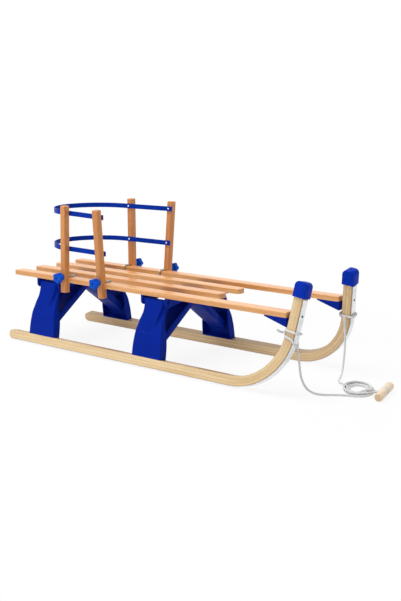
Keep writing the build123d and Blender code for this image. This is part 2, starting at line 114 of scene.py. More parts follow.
@dataclass(frozen=True)
class SideLine:
    """Line of a runner in metres: the folding axis, the lean of a side and the bend of its sole."""

    hinge_y: float = 0.146
    hinge_z: float = 0.196
    tilt: float = math.radians(10.3)
    lean: float = math.radians(6.9)
    bend_radius: float = 0.196
    sole_half: float = 0.011
    runner_deep: float = 0.0305
    runner_half: float = 0.0135
    sole_thick: float = 0.0025

    @property
    def sole_fall(self) -> float:
        """Distance from the folding axis down to the sole, along the side."""
        return (self.hinge_z - self.sole_half * math.sin(self.tilt)) / math.cos(self.tilt)

    @property
    def bend_z(self) -> float:
        """Height of the bend's centre over the folding axis, along the side."""
        return self.bend_radius - self.sole_fall

    @property
    def bend_x(self) -> float:
        """Station of the bend's centre, worked back from the top of the sole's upright."""
        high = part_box("near_sole")[1]
        along = (high.z - self.hinge_z - self.sole_half * math.sin(self.tilt)) / math.cos(self.tilt)
        run = (along - self.bend_z + self.bend_radius * math.sin(self.lean)) / math.cos(self.lean)
        return high.x - self.bend_radius * math.cos(self.lean) - run * math.sin(self.lean)

    def place(self, name: str) -> Matrix:
        """Matrix from a side drawn upright about its axis to the near or the far side."""
        hinge = Matrix.Translation((0, -self.hinge_y, self.hinge_z))
        return mirrored(name) @ hinge @ Matrix.Rotation(-self.tilt, 4, "X")

    def ahead(self, run: float) -> Vector:
        """Direction square out of the sole, at a run that is below zero on the bend."""
        angle = -self.lean + min(run, 0.0) / self.bend_radius
        return Vector((math.cos(angle), 0, math.sin(angle)))

    def upright(self, depth: float, run: float) -> Vector:
        """Point on the upright's middle plane.

        Args:
            depth: Distance in from the sole's outer line.
            run: Distance up from the end of the bend, below zero on the bend.

        Returns:
            The point, drawn upright about the folding axis.
        """
        centre = Vector((self.bend_x, 0, self.bend_z))
        rise = Vector((math.sin(self.lean), 0, math.cos(self.lean))) * max(run, 0.0)
        return centre + self.ahead(run) * (self.bend_radius - depth) + rise


SIDE = SideLine()


class Bench:
    """Lays out the nodes of one material, or of the world."""

    def __init__(self, holder: Union[Material, bpy.types.World]) -> None:
        """Start with an empty tree.

        Args:
            holder: Material or world to lay out.
        """
        holder.use_nodes = True
        self.holder = holder
        self.tree = holder.node_tree
        self.tree.nodes.clear()

    def add(self, kind: str, wires: dict[Union[int, str], Value],
            **options: str) -> bpy.types.bpy_prop_collection:
        """Add a node and fill its inputs.

        Args:
            kind: Kind of node, without Blender's prefix.
            wires: Sockets, numbers or colours, by the name or number of their input.
            options: Settings of the node.

        Returns:
            The node's outputs.
        """
        node = self.tree.nodes.new(f"ShaderNode{kind}")
        for name, setting in options.items():
            setattr(node, name, setting)
        for name, value in wires.items():
            target = node.inputs[name]
            if isinstance(value, Socket):
                self.tree.links.new(value, target)
            elif target.type == "RGBA":
                target.default_value = (*value, 1.0)
            else:
                target.default_value = value
        return node.outputs

    def coords(self, kind: str = "Object") -> Socket:
        """Object coordinates, which are the sled's own frame in metres, or the normal beside them."""
        return self.add("TexCoord", {})[kind]

    def math(self, kind: str, first: Value, second: Value = 0.0) -> Socket:
        """One step of arithmetic."""
        return self.add("Math", {0: first, 1: second}, operation=kind)[0]

    def turned(self, first: Value, second: Value, cosine: Value, sine: Value) -> tuple[Socket, Socket]:
        """Turn a pair of values about their middle.

        Args:
            first: First of the pair.
            second: Second of the pair.
            cosine: Cosine of the angle.
            sine: Sine of the angle.

        Returns:
            The turned pair.
        """
        less = self.math("MULTIPLY", first, cosine), self.math("MULTIPLY", second, sine)
        more = self.math("MULTIPLY", first, sine), self.math("MULTIPLY", second, cosine)
        return self.math("SUBTRACT", *less), self.math("ADD", *more)

    def split(self, vector: Socket) -> list[Socket]:
        """The three parts of a vector."""
        return list(self.add("SeparateXYZ", {0: vector}))

    def join(self, x: Value, y: Value, z: Value) -> Socket:
        """A vector from three parts."""
        return self.add("CombineXYZ", {0: x, 1: y, 2: z})[0]

    def noise(self, vector: Socket, scale: Union[float, Point], detail: float = 3.0,
              distortion: float = 0.0, turn: Point = (0.0, 0.0, 0.0)) -> Socket:
        """Noise between 0 and 1.

        Args:
            vector: Coordinates to read.
            scale: Features per metre, all round or along each axis.
            detail: Octaves.
            distortion: How far the pattern is bent.
            turn: Rotation about each axis, in radians, where the axes differ.

        Returns:
            The noise value's socket.
        """
        if isinstance(scale, tuple):
            vector = self.add("Mapping", {"Vector": vector, "Scale": scale, "Rotation": turn})[0]
            scale = 1.0
        wires = {"Vector": vector, "Scale": scale, "Detail": detail, "Distortion": distortion}
        return self.add("TexNoise", wires)["Fac"]

    def between(self, value: Socket, low: float, high: float, out_low: float = 0.0,
                out_high: float = 1.0) -> Socket:
        """Map a range of values smoothly to another, held at its ends."""
        wires = {"Value": value, "From Min": low, "From Max": high, "To Min": out_low, "To Max": out_high}
        return self.add("MapRange", wires, interpolation_type="SMOOTHSTEP")["Result"]

    def blend(self, share: Value, first: Value, second: Value) -> Socket:
        """Mix two colours by the share of the second."""
        return self.add("Mix", {0: share, 6: first, 7: second}, data_type="RGBA")[2]

    def relief(self, height: Socket, depth: float, strength: float) -> Socket:
        """Normal of a relief whose height runs from 0 to 1 over a depth in metres."""
        return self.add("Bump", {"Height": height, "Distance": depth, "Strength": strength})[0]

    def seen_directly(self) -> Socket:
        """1 for rays from the camera, off a mirror or through glass, and 0 for the rest."""
        path = self.add("LightPath", {})
        seen = self.math("MAXIMUM", path["Is Camera Ray"], path["Is Glossy Ray"])
        return self.math("MAXIMUM", seen, path["Is Transmission Ray"])

    def surface(self, **values: Value) -> Material:
        """Make the surface, with underscores for spaces in its inputs' names.

        Args:
            values: Sockets, numbers or colours for the inputs.

        Returns:
            The finished material.
        """
        wires = {name.replace("_", " "): value for name, value in values.items()}
        self.add("OutputMaterial", {"Surface": self.add("BsdfPrincipled", wires)["BSDF"]})
        return self.holder


@dataclass(frozen=True)
class Wood:
    """Lacquered wood: two tones of growth, fine fibres, pores or flecks, darker end grain, and on the
    runners glue lines and painted shade next to the sole.
    """

    name: str
    pale: Colour
    deep: Colour
    pore: Colour
    grain: Grain
    growth_scale: Point = (2.2, 55.0, 55.0)
    broad_scale: Point = (1.1, 9.0, 9.0)
    fibre_scale: Point = (30.0, 900.0, 900.0)
    pore_scale: Point = (90.0, 1500.0, 1500.0)
    growth_share: float = 0.7
    growth_span: Span = (0.36, 0.66)
    fibre_share: float = 0.16
    fibre_span: Span = (0.3, 0.8)
    pore_share: float = 0.35
    pore_span: Span = (0.60, 0.72)
    pore_depth: float = 0.8
    end_dark: float = 0.35
    end_span: Span = (0.75, 0.97)
    lamina: float = 0.0093
    lamina_seed: Span = (0.37, 0.61)
    lamina_scale: float = 3.7
    lamina_span: Span = (0.35, 0.65)
    lamina_dark: float = 0.32
    # Colour of the dark glue joints, also used for the painted shade along the sole.
    glue_and_gap_shade: Colour = (0.28, 0.16, 0.07)
    glue_share: float = 0.75
    glue_span: Span = (0.45, 0.49)
    # Painted shade where the gap to the sole shades the runner: where it starts, where it ends and how dark
    # it gets.
    gap_shade_start: float = 0.0008
    gap_shade_end: float = 0.0032
    gap_shade_dark: float = 0.55
    roughness: float = 0.42
    gloss_span: Span = (0.25, 0.75)
    relief: float = 0.00012
    coat: float = 0.25
    coat_roughness: float = 0.22

    def bend_coords(self, bench: Bench, name: str) -> Socket:
        """Coordinates that follow the runner: along it, across it and in from its sole.

        Args:
            bench: Material being laid out.
            name: Side of the runner.

        Returns:
            The coordinates' socket.
        """
        x, y, z = bench.split(bench.coords())
        out = bench.math("ADD", bench.math("MULTIPLY", y, -SIDES[name]), SIDE.hinge_y)
        up = bench.math("SUBTRACT", z, SIDE.hinge_z)
        across, along = bench.turned(out, up, math.cos(SIDE.tilt), math.sin(SIDE.tilt))
        from_x = bench.math("SUBTRACT", x, SIDE.bend_x)
        from_z = bench.math("SUBTRACT", along, SIDE.bend_z)
        angle = bench.math("MINIMUM", bench.math("ARCTAN2", from_z, from_x), -SIDE.lean)
        angle = bench.math("MAXIMUM", angle, -QUARTER_TURN)
        cosine, sine = bench.math("COSINE", angle), bench.math("SINE", angle)
        slip, reach = bench.turned(from_z, from_x, cosine, sine)
        arc = bench.math("MULTIPLY", bench.math("ADD", angle, QUARTER_TURN), SIDE.bend_radius)
        depth = bench.math("SUBTRACT", SIDE.bend_radius, reach)
        return bench.join(bench.math("ADD", arc, slip), across, depth)

    def add_glue_lines_and_gap_shade(self, bench: Bench, line: Socket, colour: Socket) -> Socket:
        """Darken the joints between the runner's laminations, vary their tone and paint shade along the edge
        next to the sole.

        Args:
            bench: Material being laid out.
            line: Coordinates that follow the runner.
            colour: Colour before the joints.

        Returns:
            Colour with the joints and the painted shade by the sole.
        """
        depth = bench.split(line)[2]
        layer = bench.math("DIVIDE", bench.math("SUBTRACT", depth, SIDE.sole_thick), self.lamina)
        middle = bench.math("ABSOLUTE", bench.math("SUBTRACT", bench.math("FRACT", layer), 0.5))
        seed = bench.join(bench.math("FLOOR", layer), *self.lamina_seed)
        shade = bench.noise(seed, self.lamina_scale, detail=0.0)
        darker = bench.between(shade, *self.lamina_span, 0.0, self.lamina_dark)
        colour = bench.blend(darker, colour, self.deep)
        joint = bench.between(middle, *self.glue_span, 0.0, self.glue_share)
        colour = bench.blend(joint, colour, self.glue_and_gap_shade)
        # Painted shade: the wood next to the sole is darkened towards the glue colour, as if shaded by the
        # gap to the steel sole.
        rim = bench.between(depth, SIDE.sole_thick + self.gap_shade_end, SIDE.sole_thick + self.gap_shade_start,
                            0.0, self.gap_shade_dark)
        return bench.blend(rim, colour, self.glue_and_gap_shade)

    def add_end_grain(self, bench: Bench, colour: Socket) -> Socket:
        """Darken the faces that look along the grain.

        Args:
            bench: Material being laid out.
            colour: Colour of the long faces.

        Returns:
            Colour with the ends.
        """
        looks = bench.math("ABSOLUTE", bench.split(bench.coords("Normal"))[self.grain.value[0]])
        return bench.blend(bench.between(looks, *self.end_span, 0.0, self.end_dark), colour, self.pore)

    def make(self, name: str = "near") -> Material:
        """Lay out the wood.

        Args:
            name: Side of the sled, which matters to the runners alone.

        Returns:
            The finished material.
        """
        bench = Bench(bpy.data.materials.new(f"{self.name}_{name}"))
        bent = self.grain is Grain.ALONG_BEND
        if bent:
            line = self.bend_coords(bench, name)
        else:
            parts = bench.split(bench.coords())
            line = bench.join(*(parts[axis] for axis in self.grain.value))
        growth = bench.noise(line, self.growth_scale, detail=4.0, distortion=0.9)
        broad = bench.noise(line, self.broad_scale, detail=2.0)
        fibre = bench.noise(line, self.fibre_scale)
        pores = bench.noise(line, self.pore_scale, detail=1.0)
        tone = bench.math("ADD", bench.math("MULTIPLY", growth, self.growth_share),
                          bench.math("MULTIPLY", broad, 1 - self.growth_share))
        colour = bench.blend(bench.between(tone, *self.growth_span), self.pale, self.deep)
        fleck = bench.between(pores, *self.pore_span, 0.0, self.pore_share)
        colour = bench.blend(fleck, colour, self.pore)
        streak = bench.between(fibre, *self.fibre_span, 0.0, self.fibre_share)
        colour = bench.blend(streak, colour, self.deep)
        colour = self.add_glue_lines_and_gap_shade(bench, line, colour) if bent else self.add_end_grain(bench, colour)
        gloss = bench.between(fibre, *self.gloss_span, self.roughness - 0.07, self.roughness + 0.1)
        height = bench.math("SUBTRACT", fibre, bench.math("MULTIPLY", fleck, self.pore_depth))
        normal = bench.relief(height, self.relief, strength=0.5)
        return bench.surface(Base_Color=colour, Roughness=gloss, Coat_Weight=self.coat,
                             Coat_Roughness=self.coat_roughness, Normal=normal)


@dataclass(frozen=True)
class Plastic:
    """Moulded plastic with a faint grain, uneven sheen and light scuffs."""

    name: str
    body: Colour
    scuff: Colour
    roughness: float = 0.34
    specular: float = 0.035
    cloud_scale: float = 14.0
    cloud_span: Span = (0.3, 0.7)
    cloud_share: float = 0.25
    cloud_dark: float = 0.72
    gloss_span: Span = (0.25, 0.75)
    scuff_scale: Point = (55.0, 160.0, 70.0)
    scuff_turn: Point = (0.4, 0.2, 0.7)
    scuff_span: Span = (0.62, 0.78)
    scuff_share: float = 0.22
    grain_scale: float = 1600.0
    relief: float = 0.00008

    def make(self) -> Material:
        """Lay out the plastic and return the finished material."""
        bench = Bench(bpy.data.materials.new(self.name))
        place = bench.coords()
        cloud = bench.noise(place, self.cloud_scale)
        rub = bench.noise(place, self.scuff_scale, detail=4.0, distortion=1.2, turn=self.scuff_turn)
        dark = tuple(self.cloud_dark * part for part in self.body)
        shade = bench.between(cloud, *self.cloud_span, 0.0, self.cloud_share)
        worn = bench.between(rub, *self.scuff_span, 0.0, self.scuff_share)
        colour = bench.blend(worn, bench.blend(shade, self.body, dark), self.scuff)
        gloss = bench.between(cloud, *self.gloss_span, self.roughness - 0.05, self.roughness + 0.09)
        grain = bench.noise(place, self.grain_scale, detail=2.0)
        return bench.surface(Base_Color=colour, Roughness=gloss, Specular_IOR_Level=self.specular,
                             Normal=bench.relief(grain, self.relief, strength=0.5))


@dataclass(frozen=True)
class Steel:
    """Bare or plated steel, drawn along one axis, with dull patches."""

    name: str
    body: Colour
    dull: Colour
    draw: Point = (12.0, 700.0, 700.0)
    roughness: float = 0.36
    patch_scale: float = 38.0
    patch_span: Span = (0.42, 0.7)
    patch_share: float = 0.55
    gloss_span: Span = (0.2, 0.8)
    relief: float = 0.00005

    def make(self) -> Material:
        """Lay out the steel and return the finished material."""
        bench = Bench(bpy.data.materials.new(self.name))
        place = bench.coords()
        lines = bench.noise(place, self.draw)
        patch = bench.noise(place, self.patch_scale, detail=4.0, distortion=0.6)
        worn = bench.between(patch, *self.patch_span, 0.0, self.patch_share)
        colour = bench.blend(worn, self.body, self.dull)
        gloss = bench.between(lines, *self.gloss_span, self.roughness - 0.1, self.roughness + 0.12)
        return bench.surface(Base_Color=colour, Metallic=1.0, Roughness=gloss,
                             Normal=bench.relief(lines, self.relief, strength=0.6))


@dataclass(frozen=True)
class Braid:
    """White braided cord: two sets of strands crossing round it, fine fibres, a little soil and painted
    shade in the grooves between the strands.
    """

    name: str = "braided_cord"
    body: Colour = (0.73, 0.73, 0.74)
    # Colour of the painted shade in the hollows between the strands.
    groove: Colour = (0.58, 0.58, 0.57)
    groove_shade_span: Span = (0.28, 0.05)
    groove_shade_share: float = 0.5
    soil: Colour = (0.65, 0.645, 0.63)
    soil_scale: float = 60.0
    soil_span: Span = (0.5, 0.8)
    soil_share: float = 0.4
    strands: float = 4.0
    pitch: float = 0.0085
    fibre_scale: float = 2600.0
    fibre_share: float = 0.35
    relief: float = 0.0005

    def make(self) -> Material:
        """Lay out the braid on the cord's own lay and return the finished material."""
        bench = Bench(bpy.data.materials.new(self.name))
        lay = bench.add("Attribute", {}, attribute_name=LAY)["Vector"]
        across, up, along = bench.split(lay)
        turn = bench.math("MULTIPLY", bench.math("ARCTAN2", up, across), self.strands)
        run = bench.math("MULTIPLY", along, FULL_TURN / self.pitch)
        left, right = (bench.math("SINE", bench.math(kind, turn, run)) for kind in ("ADD", "SUBTRACT"))
        crossing = bench.math("MULTIPLY", left, right)
        weave = bench.math("ADD", bench.math("MULTIPLY", crossing, 0.5), 0.5)
        place = bench.coords()
        fibre = bench.noise(place, self.fibre_scale, distortion=0.5)
        patch = bench.noise(place, self.soil_scale)
        soiled = bench.between(patch, *self.soil_span, 0.0, self.soil_share)
        # Painted shade: the low parts of the weave are darkened where the strands would shade them.
        shaded_groove = bench.between(weave, *self.groove_shade_span, 0.0, self.groove_shade_share)
        colour = bench.blend(shaded_groove, bench.blend(soiled, self.body, self.soil), self.groove)
        height = bench.math("ADD", weave, bench.math("MULTIPLY", fibre, self.fibre_share))
        return bench.surface(Base_Color=colour, Roughness=0.8, Sheen_Weight=0.2, Sheen_Roughness=0.5,
                             Normal=bench.relief(height, self.relief, strength=0.7))


class Finishes:
    """Every finish on the sled, made once."""

    def __init__(self) -> None:
        """Make the materials."""
        self.slat = Wood("beech_slat", (0.82, 0.425, 0.155), (0.66, 0.265, 0.066), (0.40, 0.13, 0.03),
                         Grain.ALONG_X, coat=0.6).make()
        self.post = Wood("beech_post", (0.74, 0.31, 0.082), (0.57, 0.20, 0.042), (0.27, 0.085, 0.022),
                         Grain.ALONG_Z).make()
        ash = Wood("laminated_ash", (0.83, 0.63, 0.36), (0.68, 0.45, 0.21), (0.45, 0.26, 0.11),
                   Grain.ALONG_BEND, pore_share=0.5)
        self.runner = {name: ash.make(name) for name in SIDES}
        self.handle = Wood("turned_dowel", (0.92, 0.75, 0.53), (0.82, 0.62, 0.39), (0.48, 0.28, 0.13),
                           Grain.ALONG_HANDLE).make()
        self.blue = Plastic("blue_moulding", (0.0015, 0.020, 0.30), (0.02, 0.06, 0.40)).make()
        self.cap_blue = Plastic("blue_cap", (0.0015, 0.030, 0.42), (0.02, 0.08, 0.50), 0.30).make()
        self.bright_blue = Plastic("blue_knob", (0.006, 0.085, 0.58), (0.06, 0.18, 0.66), 0.26).make()
        self.strap = Plastic("blue_strap", (0.002, 0.034, 0.37), (0.05, 0.14, 0.52), 0.28).make()
        self.sole = Steel("runner_sole_steel", (0.80, 0.81, 0.83), (0.60, 0.61, 0.63)).make()
        self.pin = Steel("plated_pin_steel", (0.50, 0.46, 0.38), (0.26, 0.23, 0.18)).make()
        self.painted = Steel("blue_painted_steel", (0.004, 0.03, 0.30), (0.002, 0.015, 0.16),
                             roughness=0.5).make()
        self.rivet = Steel("rivet_steel", (0.78, 0.82, 0.90), (0.55, 0.60, 0.70),
                           (300.0, 300.0, 300.0)).make()
        self.dark = Steel("blackened_steel", (0.06, 0.06, 0.065), (0.02, 0.02, 0.02)).make()
        self.yarn = Braid().make()


def dress(material: Material, *nodes: str) -> None:
    """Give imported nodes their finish.

    Args:
        material: Finish to show.
        nodes: Names of the nodes.
    """
    for node in nodes:
        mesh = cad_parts[node].data
        mesh.materials.clear()
        mesh.materials.append(material)


def stand(name: str, data: bpy.types.ID) -> bpy.types.Object:
    """Put a new object into the scene.

    Args:
        name: Name of the object.
        data: What it shows.

    Returns:
        The new object.
    """
    made = bpy.data.objects.new(name, data)
    bpy.context.scene.collection.objects.link(made)
    return made


def stand_mesh(name: str, shape: Mesh, material: Material) -> bpy.types.Object:
    """Put a bmesh into the scene, and free it.

    Args:
        name: Name of the object.
        shape: Its shape.
        material: Its finish.

    Returns:
        The new object.
    """
    mesh = bpy.data.meshes.new(name)
    shape.to_mesh(mesh)
    shape.free()
    mesh.materials.append(material)
    return stand(name, mesh)


def is_sharp(edge: Edge) -> bool:
    """Whether an edge is a corner between two faces."""
    return edge.is_manifold and edge.calc_face_angle() > SHARP


def add_piece(name: str, shape: Mesh, material: Material, body: str) -> bpy.types.Object:
    """Turn a bmesh into a piece that rides on a body.

    Args:
        name: Name of the piece.
        shape: Mesh in the sled's frame, freed here.
        material: Finish of the piece.
        body: Body that carries the piece, or nothing for a piece left free of any body.

    Returns:
        The new object.
    """
    bmesh.ops.remove_doubles(shape, verts=shape.verts, dist=WELD)
    bmesh.ops.recalc_face_normals(shape, faces=shape.faces)
    for face in shape.faces:
        face.smooth = True
    for edge in shape.edges:
        edge.smooth = not is_sharp(edge)
    piece = stand_mesh(name, shape, material)
    if body:
        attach(piece, body)
    LOG.info("made %s on %s", name, body or "two bodies")
    return piece


def stand_in(node: str, shape: Mesh, place: Matrix, material: Material, body: str) -> None:
    """Stand a moulding in the place of its plain solid.

    Args:
        node: Name of the solid's node.
        shape: Mesh of the moulding in its own frame.
        place: Matrix from that frame to the sled.
        material: Finish of the moulding.
        body: Body that carries it.
    """
    bmesh.ops.transform(shape, matrix=place, verts=shape.verts)
    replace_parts(add_piece(f"{node}_moulding", shape, material, body), node)


def topmost(shape: Mesh) -> Face:
    """Face whose middle lies highest."""
    return max(shape.faces, key=lambda face: face.calc_center_median().z)


def round_edges(shape: Mesh, edges: list[Edge], size: float, segments: int) -> list[Vert]:
    """Round edges over and return the new corners."""
    return bmesh.ops.bevel(shape, geom=edges, offset=size, segments=segments, profile=0.5, affect="EDGES",
                           material=-1)["verts"]


def grow(shape: Mesh, faces: list[Face]) -> list[Vert]:
    """Extrude faces in place and return the new corners."""
    made = bmesh.ops.extrude_face_region(shape, geom=faces)["geom"]
    return [part for part in made if isinstance(part, Vert)]


def sink(shape: Mesh, faces: list[Face], depth: float) -> None:
    """Sink faces straight down.

    Args:
        shape: Mesh that they belong to.
        faces: Faces to sink.
        depth: How far.
    """
    moved = grow(shape, faces)
    bmesh.ops.delete(shape, geom=faces, context="FACES_ONLY")
    bmesh.ops.translate(shape, vec=(0, 0, -depth), verts=moved)


def add_collar(shape: Mesh, reach: tuple[float, float], bore: float, radius: float, steps: int) -> None:
    """Spin a bored collar round the X axis.

    Args:
        shape: Mesh to add to.
        reach: Where the collar starts and ends along the axis.
        bore: Radius of its hole.
        radius: Radius of its outside.
        steps: Flats round it.
    """
    ring = bmesh.ops.create_grid(shape, x_segments=1, y_segments=1, size=1.0)["verts"]
    for vertex in ring:
        vertex.co = Vector((reach[int(vertex.co.x > 0)], 0, radius if vertex.co.y > 0 else bore))
    face = ring[0].link_faces[0]
    edges = face.edges[:]
    bmesh.ops.delete(shape, geom=[face], context="FACES_ONLY")
    bmesh.ops.spin(shape, geom=ring + edges, cent=(0, 0, 0), axis=(1, 0, 0), angle=FULL_TURN, steps=steps,
                   use_merge=True)


@dataclass
class SeatDeck:
    """Slats, wedges and their pins."""

    finishes: Finishes
    slats: tuple[str, ...] = ("inner_near_slat", "inner_far_slat", "near_outer_slat", "far_outer_slat")

    def build(self) -> None:
        """Dress the seat."""
        dress(self.finishes.slat, *self.slats)
        for name in SIDES:
            dress(self.finishes.blue, f"{name}_wedge")
            dress(self.finishes.pin, f"{name}_wedge_pin")


@dataclass
class LegMoulding:
    """Hollow leg about its pivot, in metres: flared, with a tongue down its face and waisted side walls."""

    top_half: float = 0.0395
    foot_half: float = 0.056
    head_radius: float = 0.012
    lip_angle: float = math.radians(55)
    lip_share: float = 0.1
    face_share: float = 0.72
    edge_share: float = 0.82
    corner: float = 0.0035
    wall: float = 0.0026
    wall_least: float = 0.001
    cheek_low: float = 0.014
    tongue_top: float = 0.033
    tongue_radius: float = 0.028
    tongue_centre: float = 0.066
    tongue_aside: float = -0.007
    tongue_edge: float = 0.0028
    sway: float = -0.006
    sway_end: float = 0.07
    flange_recess: float = 0.0115
    flange_start: float = 0.006
    flange_end: float = 0.092
    belly: float = 0.0036
    belly_start: float = 0.07
    belly_full: float = 0.1
    belly_fade: float = 0.12
    belly_loss: float = 0.6
    waist: float = 0.009
    waist_full: float = 0.03
    waist_fade: float = 0.055
    waist_end: float = 0.125
    boss_in: float = 0.034
    boss_out: float = 0.0415
    boss_radius: float = 0.009
    boss_flats: int = 32
    bore: float = 0.00405
    columns: int = 120
    rows: int = 136

    @property
    def fall(self) -> float:
        """Distance from the pivot to the runner's top, along the side."""
        return SIDE.sole_fall - SIDE.runner_deep

    def half(self, drop: float) -> float:
        """Half the leg's length along the sled at a drop below its pivot.

        Args:
            drop: Distance below the pivot.

        Returns:
            The half length, which flares towards the foot.
        """
        share = min(1.0, max(0.0, (drop - self.cheek_low) / (self.fall - self.cheek_low)))
        flare = (math.sin(QUARTER_TURN * share) + ease(0.0, 1.0, share)) / 2
        return self.top_half + (self.foot_half - self.top_half) * flare

    def front(self, x: float, drop: float, base: float) -> float:
        """Place of the outer face across the sled.

        Args:
            x: Distance along the sled from the leg's middle.
            drop: Distance below the pivot.
            base: Place of the tongue's face.

        Returns:
            The face's place, with the flanges set back beside the tongue.
        """
        share = min(1.0, max(0.0, drop) / self.tongue_centre)
        aside = x - self.tongue_aside * share
        if drop < self.tongue_centre:
            over = abs(aside) - (self.tongue_top + (self.tongue_radius - self.tongue_top) * share)
        else:
            over = math.hypot(aside, drop - self.tongue_centre) - self.tongue_radius
        start = ease(-self.flange_start, self.flange_start, drop)
        back = self.flange_recess * (1 - ease(0.0, self.flange_end, drop)) * start
        kept = 1 - self.belly_loss * ease(self.belly_fade, self.fall, drop)
        proud = self.belly * ease(self.belly_start, self.belly_full, drop) * kept
        return base + (back - proud) * ease(0.0, self.tongue_edge, over)

    def rim(self, drop: float) -> float:
        """Place of the side walls' inner edge across the sled.

        Args:
            drop: Distance below the pivot.

        Returns:
            The edge's place, drawn in at the waist.
        """
        if drop < 0:
            return math.sqrt(max(0.0, self.head_radius ** 2 - drop ** 2))
        drawn = ease(self.cheek_low, self.waist_full, drop)
        freed = ease(self.waist_fade, self.waist_end, drop)
        return self.head_radius - self.waist * drawn * (1 - freed)

    def skin_point(self, across: float, down: float) -> Vector:
        """Point of the outer skin.

        Args:
            across: From -1 on one side wall's inner edge to 1 on the other's.
            down: From 0 at the lip over the pivot to 1 at the foot.

        Returns:
            The point about the pivot.
        """
        lip, face, edge = self.lip_share, self.face_share, self.edge_share
        angle = self.lip_angle * max(0.0, 1 - down / lip)
        drop = self.fall * (down - lip) / (1 - lip) if down > lip else -self.head_radius * math.sin(angle)
        base = -self.head_radius * math.cos(angle)
        side = math.copysign(1.0, across)
        half = self.half(drop)
        flat = half - self.corner
        if abs(across) <= face:
            x = flat * across / face
            y = self.front(x, drop, base)
        else:
            start = self.front(side * flat, drop, base)
            turn = QUARTER_TURN * min(1.0, (abs(across) - face) / (edge - face))
            x = side * (flat + self.corner * math.sin(turn))
            y = start + self.corner * (1 - math.cos(turn))
            if abs(across) > edge:
                share = (abs(across) - edge) / (1 - edge)
                y += (max(self.rim(drop), y + self.wall_least) - y) * share
        return Vector((x + self.sway * ease(self.cheek_low, self.sway_end, drop), y, -drop))

    def build(self) -> Mesh:
        """Shape the skin from a grid, close its foot, give it a wall and add the bosses.

        Returns:
            The leg's mesh about its pivot.
        """
        leg = bmesh.new()
        bmesh.ops.create_grid(leg, x_segments=self.columns, y_segments=self.rows, size=1.0)
        foot = [edge for edge in leg.edges if all(v.co.y < WELD - 1 for v in edge.verts)]
        for vertex in leg.verts:
            vertex.co = self.skin_point(vertex.co.x, (1 - vertex.co.y) / 2)
        bmesh.ops.contextual_create(leg, geom=foot)
        bmesh.ops.recalc_face_normals(leg, faces=leg.faces)
        outer = min(leg.faces, key=lambda face: face.calc_center_median().y)
        if outer.normal.y > 0:
            bmesh.ops.reverse_faces(leg, faces=leg.faces)
        bmesh.ops.solidify(leg, geom=leg.faces[:], thickness=self.wall)
        for end in (-1, 1):
            reach = (end * self.boss_in, end * self.boss_out)
            add_collar(leg, reach, self.bore, self.boss_radius, self.boss_flats)
        return leg


@dataclass
class BraceMoulding:
    """Dished brace about its pivot, drawn level towards -Y, in metres: it thickens down to its foot."""

    pivot_z: float
    pivot_y: float = 0.010
    drop: float = math.radians(36)
    half: float = 0.037
    tip_half: float = 0.0285
    top: float = 0.004
    dish_floor: float = -0.003
    root_low: float = 0.0155
    tip_low: float = 0.019
    rim: float = 0.004
    edge: float = 0.0011
    knuckle: float = 0.008
    knuckle_flats: int = 36
    bore: float = 0.0031
    seat: float = 0.0067

    @property
    def length(self) -> float:
        """Length from the pivot to the inside of the leg's panel."""
        across = self.pivot_y - SIDE.hinge_y + self.top * math.sin(self.drop)
        above = self.pivot_z - SIDE.hinge_z + self.top * math.cos(self.drop)
        reach = self.seat - across * math.cos(SIDE.tilt) - above * math.sin(SIDE.tilt)
        return reach / math.cos(self.drop + SIDE.tilt)

    def place(self) -> Matrix:
        """Matrix from the brace drawn level to the near side of a trestle."""
        return Matrix.Translation((0, -self.pivot_y, self.pivot_z)) @ Matrix.Rotation(self.drop, 4, "X")

    def build(self) -> Mesh:
        """Extrude the outline, dish it, ease its edges and add the knuckle.

        Returns:
            The brace's mesh about its pivot.
        """
        brace = bmesh.new()
        outline = ((self.half, 0.0), (self.tip_half, self.length),
                   (-self.tip_half, self.length), (-self.half, 0.0))
        corners = [brace.verts.new((x, -run, self.top)) for x, run in outline]
        face = bmesh.ops.contextual_create(brace, geom=corners)["faces"][0]
        for vertex in grow(brace, [face]):
            share = -vertex.co.y / self.length
            vertex.co.z = -(self.root_low + (self.tip_low - self.root_low) * share)
        bmesh.ops.recalc_face_normals(brace, faces=brace.faces)
        dish = topmost(brace)
        bmesh.ops.inset_region(brace, faces=[dish], thickness=self.rim, use_even_offset=True)
        for vertex in dish.verts:
            vertex.co.z = self.dish_floor
        round_edges(brace, [edge for edge in brace.edges if is_sharp(edge)], self.edge, segments=2)
        add_collar(brace, (-self.half, self.half), self.bore, self.knuckle, self.knuckle_flats)
        return brace


